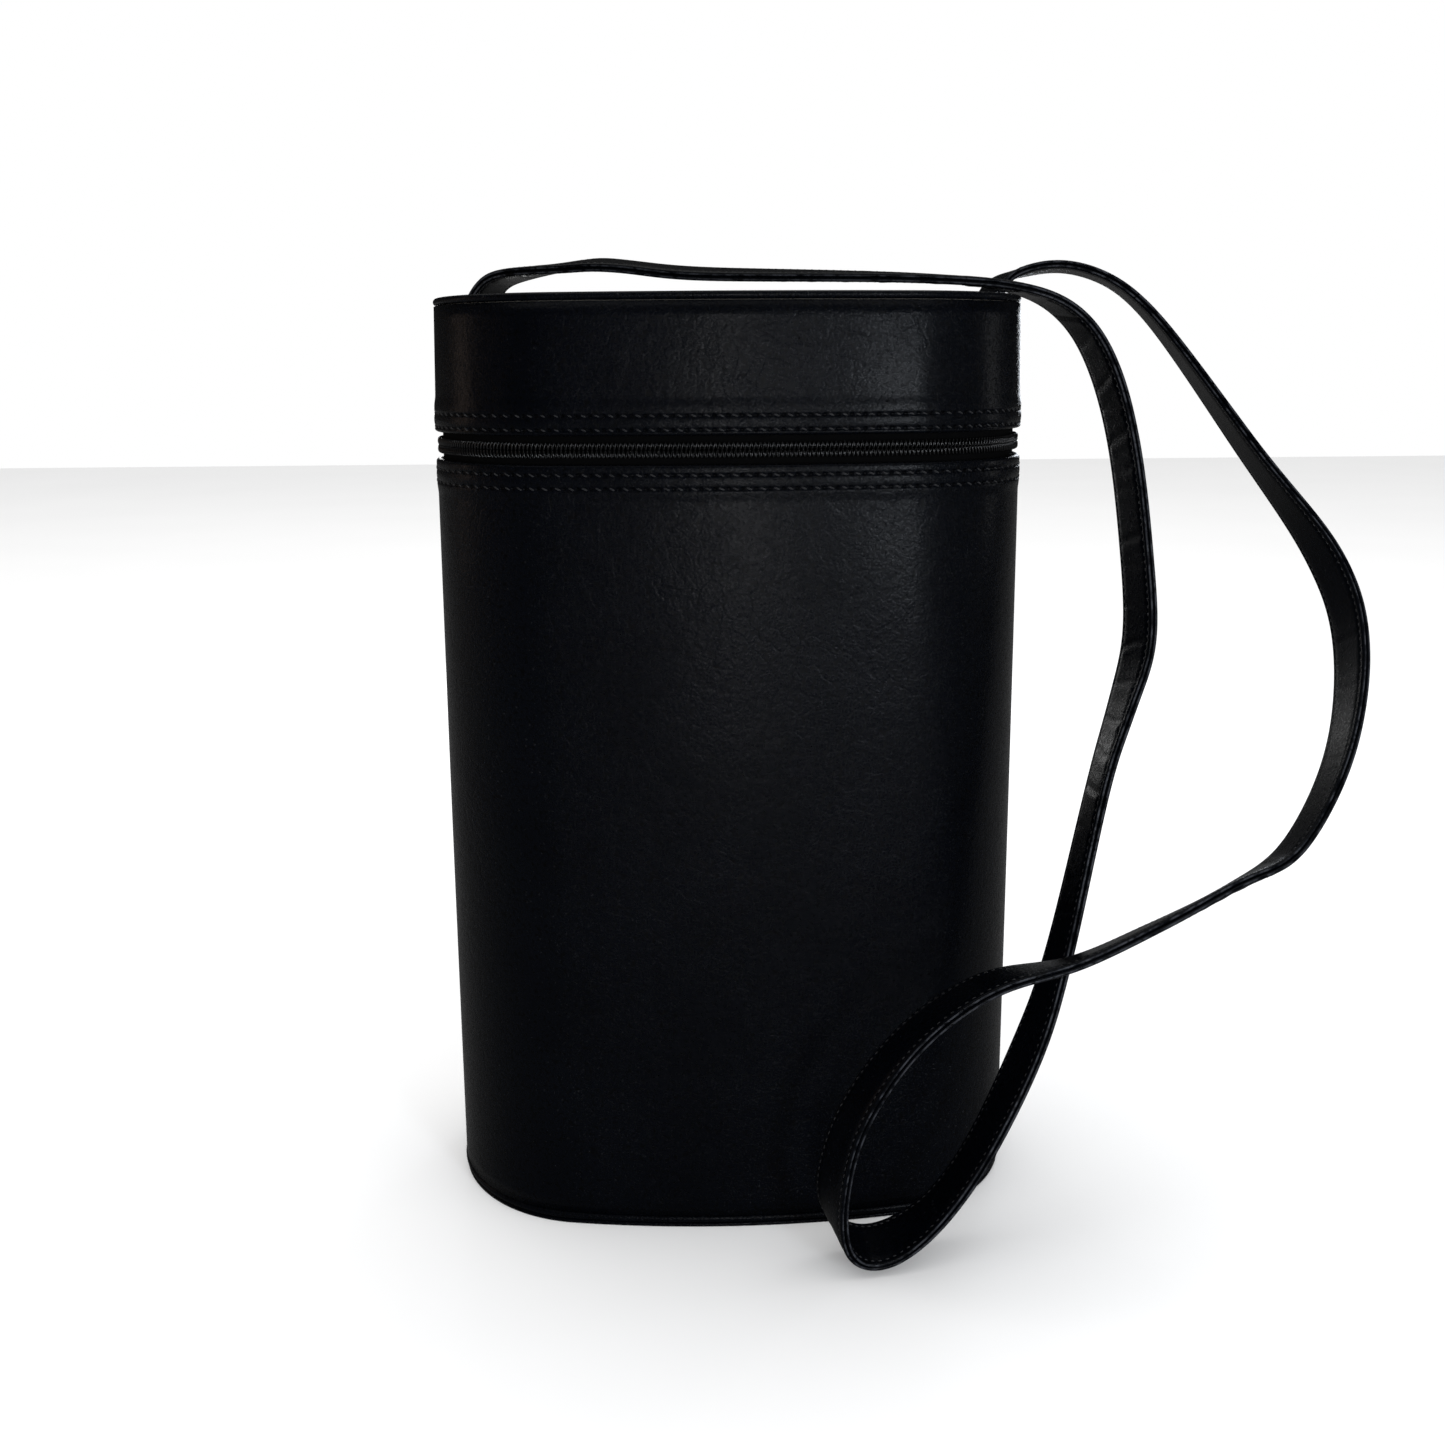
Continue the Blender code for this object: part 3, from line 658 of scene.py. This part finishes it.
def make_linings(look):
    for name, node, body, lean in (
        ("body_cloth", "body_lining", "case", body_lean),
        ("lid_cloth", "lid_lining", "lid", lid_lean),
    ):
        low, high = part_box(node)[0][2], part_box(node)[1][2]
        heights = np.linspace(low, high, 30)
        profile = [(float(lean(z)) - LINING_OUT, z) for z in heights]
        profile += [(float(lean(z)) - LINING_IN, z) for z in heights[::-1]]
        piece = sweep(name, profile, 240)
        finish_piece(piece, look["lining"], body, "lining", node)


def make_divider(look):
    """The padded divider: a soft panel with a bound top edge."""
    low, high = (Vector(corner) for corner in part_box("divider"))
    depth = (high.y - low.y) / 2
    y = np.linspace(-depth, depth, 60)
    z = np.linspace(low.z, high.z, 90)
    yy, zz = np.meshgrid(y, z, indexing="ij")
    edge = np.minimum(depth - np.abs(yy), np.minimum(zz - low.z, high.z - zz))
    half = 0.5 * MM + 0.95 * MM * np.sqrt(np.clip(edge / (5 * MM), 0, 1))
    half = half * (1 - 0.35 * ridge(high.z - zz, 8 * MM, 0.8 * MM))
    near = np.stack([half, yy, zz], axis=-1)
    far = np.stack([-half, yy, zz], axis=-1)[:, ::-1]
    points = np.concatenate([near, far], axis=1)
    u = np.append(y, y[-1]) + depth
    v = np.concatenate([z, z[::-1], z[:1]])
    piece = grid("divider_pad", points, across=True, u=u, v=v, caps=True)
    face_out(piece)
    finish_piece(piece, look["lining"], "case", "lining", "divider")


# ---------------------------------------------------------------- the zip and the hinge

def coil_line(z, start, end, turned):
    """A flattened helix along the zip; turned is 1 or -1, its hand."""
    t = np.arange(0, (end - start) / COIL_PITCH, 1 / 12)
    along = start + t * COIL_PITCH
    angle = 2 * math.pi * t
    offset = -COIL_DEPTH + 0.42 * MM * np.cos(angle)
    flat = oval_points(along, offset)
    return np.column_stack([flat, z + turned * 1.15 * MM * np.sin(angle)])


def make_zip(look):
    coil_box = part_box("zip_coil_lower")
    angle = math.atan2(coil_box[1][1], math.sqrt(max(0.0, END_RADIUS ** 2 - coil_box[1][1] ** 2)))
    start = SIDE_LENGTH / 2 + (JOIN_ANGLE - angle) * END_RADIUS
    for side, body, edge in (("lower", "case", -1), ("upper", "lid", 1)):
        line = coil_line(ZIP_Z + edge * 1.35 * MM, start, PERIMETER - start, -edge)
        coil = tube(f"coil_{side}", line, COIL_WIRE, 7)
        finish_piece(coil, look["nylon"], body, "zip_coil", f"zip_coil_{side}")
        node = f"zip_tape_{side}"
        low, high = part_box(node)[0][2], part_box(node)[1][2]
        heights = np.linspace(low, high, 12)
        profile = [(-TAPE_OUT, z) for z in heights] + [(-TAPE_IN, z) for z in heights[::-1]]
        tape = sweep(f"tape_{side}", profile, 400, TAPE_END, PERIMETER - TAPE_END)
        finish_piece(tape, look["tape"], body, "zip_tape", node)


def make_hinge(look):
    """The leather gusset that folds at the back; one sheet from the case to the lid."""
    low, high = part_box("hinge_leaf_lower")[0][2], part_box("hinge_leaf_upper")[1][2]
    heights = np.concatenate([
        np.linspace(low, ZIP_Z - 4 * MM, 8), np.linspace(ZIP_Z - GUSSET_FOLD, ZIP_Z + GUSSET_FOLD, 25),
        np.linspace(ZIP_Z + 4 * MM, high, 8),
    ])
    outer = -TAPE_OUT + 0.35 * MM * ridge(heights, ZIP_Z, 2.5 * MM)
    profile = list(zip(outer, heights)) + [(-TAPE_IN, z) for z in heights[::-1]]
    piece = sweep("hinge_gusset", profile, 500, PERIMETER - GUSSET_HALF, PERIMETER + GUSSET_HALF)
    piece.data.materials.append(look["leather"])
    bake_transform(piece)
    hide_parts("hinge_leaf_lower", "hinge_leaf_upper")


# ---------------------------------------------------------------- the strap

def route_point(route, at):
    """A smooth curve through the route, at places counted in points."""
    last = len(route) - 1
    i = np.minimum(at.astype(int), last - 1)
    t = (at - i)[:, None]
    padded = np.concatenate([[2 * route[0] - route[1]], route, [2 * route[-1] - route[-2]]])
    p0, p1, p2, p3 = padded[i], padded[i + 1], padded[i + 2], padded[i + 3]
    cubic = (2 * p0 - 5 * p1 + 4 * p2 - p3) * t ** 2 + (3 * p1 - p0 - 3 * p2 + p3) * t ** 3
    return (2 * p1 + (p2 - p0) * t + cubic) / 2


def strap_frames(spacing):
    """Evenly spaced middles, directions ahead, across and out, and distances along the strap."""
    route = np.array(STRAP_ROUTE, float) * (MM, MM, MM, math.radians(1))
    fine = route_point(route, np.linspace(0, len(route) - 1, 4000))
    run = even_run(fine[:, :3])
    wanted = np.linspace(0, run[-1], round(run[-1] / spacing) + 1)
    even = np.column_stack([np.interp(wanted, run, fine[:, k]) for k in range(4)])
    half = STRAP_CALM // 2
    window = np.hanning(STRAP_CALM + 2)[1:-1]
    padded = np.concatenate([2 * even[0] - even[half:0:-1], even, 2 * even[-1] - even[-2:-half - 2:-1]])
    even = np.column_stack([np.convolve(padded[:, k], window / window.sum(), "valid") for k in range(4)])
    middle, turn = even[:, :3], even[:, 3:]
    ahead = np.gradient(middle, axis=0)
    ahead /= np.linalg.norm(ahead, axis=1)[:, None]
    rear = np.array([0, 1, 0]) - ahead * ahead[:, 1:2]
    rear /= np.linalg.norm(rear, axis=1)[:, None]
    across = rear * np.cos(turn) + np.cross(ahead, rear) * np.sin(turn)
    return middle, ahead, across, np.cross(ahead, across), even_run(middle)


def strap_section():
    """The strap's outline: places across it and depths.

    Each layer's edge is turned, so a groove runs along both of the strap's narrow sides.
    """
    half, thick = STRAP_WIDTH / 2, STRAP_THICK / 2
    lift = 0.48 * thick
    inner = np.linspace(-half + 1.1 * MM, half - 1.1 * MM, 27)
    edge = half - np.abs(inner)
    face = thick * (0.93 + 0.07 * step(edge, STRAP_MARGIN, STRAP_MARGIN + 2 * MM))
    face = face - 0.22 * MM * ridge(edge, STRAP_MARGIN, 0.4 * MM)
    turns = np.radians(np.linspace(80, -62, 9))
    nose_x = np.append(half - 0.95 * MM + 0.95 * MM * np.cos(turns), half - 1.0 * MM)
    nose_y = np.append(lift + (thick * 0.93 - lift) * np.sin(turns), 0.04 * MM)
    x = np.concatenate([inner, nose_x, nose_x[::-1], inner[::-1], -nose_x, -nose_x[::-1]])
    y = np.concatenate([face, nose_y, -nose_y[::-1], -face[::-1], -nose_y, nose_y[::-1]])
    return x, y


def strap_folds(run, x, seed, spacing, depth):
    """Creases across the strap, at uneven distances, with the leather puffed up between them."""
    dice = random.Random(seed)
    height = np.zeros(run.shape)
    at = spacing
    while at < run.max():
        slant = dice.uniform(-0.35, 0.35)
        deep = depth * dice.uniform(0.3, 1.0)
        gap = run - at - slant * x + 1.2 * MM * np.sin(x / (5 * MM) + at / MM)
        height -= deep * ridge(gap, 0, dice.uniform(0.7, 1.3) * MM)
        height += 0.45 * deep * ridge(gap, 2.4 * MM, 2.2 * MM)
        at += spacing * dice.uniform(0.5, 1.6)
    return height


def make_strap(look):
    middle, ahead, across, out, run = strap_frames(1.2 * MM)
    x, y = strap_section()
    edge = STRAP_WIDTH / 2 - np.abs(x)
    flat = step(edge, 1.0 * MM, STRAP_MARGIN + 2 * MM)
    rr, xx = np.meshgrid(run, x, indexing="ij")
    under = strap_folds(rr, xx, 5, 11 * MM, 0.48 * MM)
    over = strap_folds(rr, xx, 9, 26 * MM, 0.16 * MM)
    folds = np.where(y > 0, over, -under) * flat
    depth = np.clip(y + folds, -STRAP_THICK * 0.56, STRAP_THICK * 0.56)
    sway = 0.35 * MM * waves(12, 4, run / (16 * MM))
    places = x[None, :] + sway[:, None]
    points = middle[:, None, :] + across[:, None, :] * places[..., None]
    points = points + out[:, None, :] * depth[..., None]
    lengths = np.hypot(np.diff(np.append(x, x[0])), np.diff(np.append(y, y[0])))
    v = np.concatenate([[0], np.cumsum(lengths)])
    tips = [float(v[i]) for i in range(len(x)) if abs(x[i]) > STRAP_WIDTH / 2 - 0.04 * MM]
    noses = [tips[0]] + [b for a, b in zip(tips, tips[1:]) if b - a > 0.8 * MM]
    skin = leather("leather_strap", edges=noses, crease=0.35, depth=0.02 * MM, rough=0.22)
    strap = grid("shoulder_strap", points, across=True, u=np.append(run, run[-1]), v=v, caps=True)
    face_out(strap)
    finish_piece(strap, skin, None, "leather", "strap_outer", "strap_lining")
    blend_strap(strap)
    stitch_strap(look, (middle, ahead, across, out), run, sway)


def stitch_strap(look, lines, run, sway):
    """Four rows of small stitches, along both edges of both faces."""
    spots = np.arange(STRAP_STITCH, run[-1] - STRAP_STITCH / 2, STRAP_STITCH)
    middle, ahead, across, out = (
        np.column_stack([np.interp(spots, run, line[:, k]) for k in range(3)]) for line in lines
    )
    swayed = np.interp(spots, run, sway)[:, None]
    face = STRAP_THICK / 2 * 0.93 - 0.16 * MM
    reach = STRAP_WIDTH / 2 - STRAP_MARGIN
    for name, side, turned in (
        ("outer_near", -1, 1), ("outer_far", 1, 1), ("lining_near", -1, -1), ("lining_far", 1, -1),
    ):
        places = middle + across * (side * reach + swayed) + out * turned * face
        row = stitches(
            f"strap_stitches_{name}", places, ahead, out * turned, STRAP_STITCH * 0.62, look["thread"], None,
            slant=-8.0, seed=40, fine=0.8,
        )
        blend_strap(row)


def blend_strap(piece):
    """The strap lies on the floor at its foot; its placement is only baked into its mesh."""
    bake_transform(piece)


def make_anchors(look):
    """The patches that hold the strap's ends, each sewn down with a box of stitches."""
    half = ANCHOR_WIDTH / 2
    right = SIDE_LENGTH / 2 + (JOIN_ANGLE - ANCHOR_ANGLE) * END_RADIUS
    for side, middle in (("left", PERIMETER - right), ("right", right)):
        node = f"strap_anchor_{side}"
        low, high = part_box(node)[0][2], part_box(node)[1][2]
        u = np.linspace(-half, half, 40)
        z = np.linspace(low, high, 50)
        uu, zz = np.meshgrid(u, z, indexing="ij")
        edge = np.minimum(half - np.abs(uu), np.minimum(zz - low, high - zz))
        rise = 0.75 * MM + 1.2 * MM * np.sqrt(np.clip(edge / (1.1 * MM), 0, 1))
        rise = rise - 0.25 * MM * ridge(edge, ANCHOR_MARGIN, 0.5 * MM)
        top = np.concatenate([oval_points(middle + uu, rise), zz[..., None]], axis=-1)
        back = np.concatenate([oval_points(middle + uu, 0.3 * MM), zz[..., None]], axis=-1)
        points = np.concatenate([top, back[:, ::-1]], axis=1)
        piece = grid(f"anchor_patch_{side}", points, across=True, caps=True)
        face_out(piece)
        finish_piece(piece, look["leather"], "case", "leather", node)
        anchor_stitches(side, middle, half - ANCHOR_MARGIN, low + ANCHOR_MARGIN, high - ANCHOR_MARGIN, look)


def anchor_stitches(side, middle, reach, low, high, look):
    """A box of stitches; each spot is its place along the oval, its height and whether it stands upright."""
    pitch = ANCHOR_STITCH
    spots = []
    for z in (low, high):
        spots += [(u, z, 0) for u in np.arange(-reach + pitch / 2, reach, pitch)]
    for u in (-reach, reach):
        spots += [(u, z, 1) for z in np.arange(low + pitch / 2, high, pitch)]
    places, along, out = [], [], []
    for u, z, upright in spots:
        flat = oval_points(np.array([middle + u]), np.array([1.75 * MM]))[0]
        angle = float(oval_angles([middle + u])[0])
        places.append(np.array([flat[0], flat[1], z]))
        along.append(np.array([0, 0, 1.0]) if upright else np.array([math.sin(angle), -math.cos(angle), 0]))
        out.append(np.array([math.cos(angle), math.sin(angle), 0]))
    stitches(f"anchor_stitches_{side}", places, along, out, pitch * 0.74, look["thread"], "case", seed=60)


# ---------------------------------------------------------------- the stage

def make_camera():
    data = bpy.data.cameras.new("camera")
    data.lens = CAMERA_LENS
    data.sensor_width = 36
    data.shift_y = CAMERA_SHIFT
    data.clip_start = 0.01
    camera = bpy.data.objects.new("camera", data)
    aim = Matrix.Rotation(CAMERA_TURN, 4, "Z") @ Matrix.Rotation(math.pi / 2 - CAMERA_DOWN, 4, "X")
    aim = aim @ Matrix.Rotation(CAMERA_ROLL, 4, "Z")
    camera.matrix_world = Matrix.Translation(CAMERA_PLACE) @ aim
    bpy.context.scene.collection.objects.link(camera)
    bpy.context.scene.camera = camera


def make_floor():
    bpy.ops.mesh.primitive_plane_add(size=8, location=(0, 0, 0))
    floor = bpy.context.object
    floor.name = "floor"
    m = Nodes("floor_paint")
    tone = m.add("TexNoise", Vector=m.place(), Scale=3.0, Detail=2.0)
    pale = m.mix(tone.outputs["Fac"], (0.80, 0.80, 0.80, 1), (0.83, 0.83, 0.83, 1))
    mirrored = m.add("LightPath").outputs["Is Glossy Ray"]
    m.link("Base Color", m.mix(mirrored, pale, (0.13, 0.13, 0.13, 1)))
    m.link("Roughness", 0.9)
    m.link("Specular IOR Level", 0.1)
    floor.data.materials.append(m.material)


def area_light(name, place, target, size, power, colour=(1, 1, 1)):
    data = bpy.data.lights.new(name, "AREA")
    data.shape = "RECTANGLE"
    data.size, data.size_y = size
    data.energy = power
    data.color = colour
    light = bpy.data.objects.new(name, data)
    light.location = place
    light.rotation_euler = (Vector(target) - Vector(place)).to_track_quat("-Z", "Y").to_euler()
    bpy.context.scene.collection.objects.link(light)


def make_lights():
    world = bpy.data.worlds.new("studio")
    world.use_nodes = True
    nodes = world.node_tree.nodes
    nodes["Background"].inputs["Color"].default_value = (1, 1, 1, 1)
    ray = nodes.new("ShaderNodeLightPath")
    strength = nodes.new("ShaderNodeMapRange")
    strength.inputs["To Min"].default_value = 1.0
    strength.inputs["To Max"].default_value = 0.03
    world.node_tree.links.new(ray.outputs["Is Glossy Ray"], strength.inputs["Value"])
    world.node_tree.links.new(strength.outputs[0], nodes["Background"].inputs["Strength"])
    bpy.context.scene.world = world
    area_light("strip", (0.045, -0.90, 0.22), (0.02, 0, 0.22), (0.05, 0.40), 1.5, (0.98, 0.98, 1))
    area_light("window", (0.50, -0.95, 0.30), (0.05, 0, 0.24), (0.16, 0.42), 3.9, (0.86, 0.92, 1))
    area_light("ceiling", (0.0, 0.4, 2.4), (0, 0.2, 0), (3.0, 3.0), 32)
    area_light("left_glow", (-1.2, 0.2, 0.4), (-0.1, 0, 0.3), (0.3, 0.5), 0.6, (1, 0.75, 0.6))
    area_light("back_strip", (-0.25, 0.95, 0.28), (0, 0, 0.24), (0.10, 0.36), 0.6)
    area_light("back_window", (0.45, 0.90, 0.42), (0.05, 0, 0.26), (0.20, 0.30), 1.0, (0.88, 0.93, 1))
    area_light("right_side", (1.10, 0.10, 0.35), (0.1, 0, 0.22), (0.15, 0.40), 0.4)
    bpy.context.scene.view_settings.view_transform = "Standard"


def paint(node, material):
    """Gives a CAD node that stays in view a finished material."""
    piece = bpy.data.objects[node]
    for slot in piece.material_slots:
        slot.material = material


def main():
    look = {
        "leather": leather("leather_plain"),
        "thread": thread_material(),
        "nylon": nylon_material(),
        "tape": woven("tape_weave", (0.0012, 0.0012, 0.0014), herringbone=True),
        "lining": woven("lining_weave", (0.03, 0.03, 0.032)),
        "metal": metal_material(),
        "board": board_material(),
    }
    make_camera()
    make_strap(look)
    make_covers(look)
    make_welts(look)
    make_panels(look)
    make_linings(look)
    make_divider(look)
    make_zip(look)
    make_hinge(look)
    make_anchors(look)
    for node in ("body_board", "base_board", "lid_board", "lid_top_board"):
        paint(node, look["board"])
    for node in ("zip_slider", "zip_pull", "zip_stop_left", "zip_stop_right"):
        paint(node, look["metal"])
    make_floor()
    make_lights()


main()
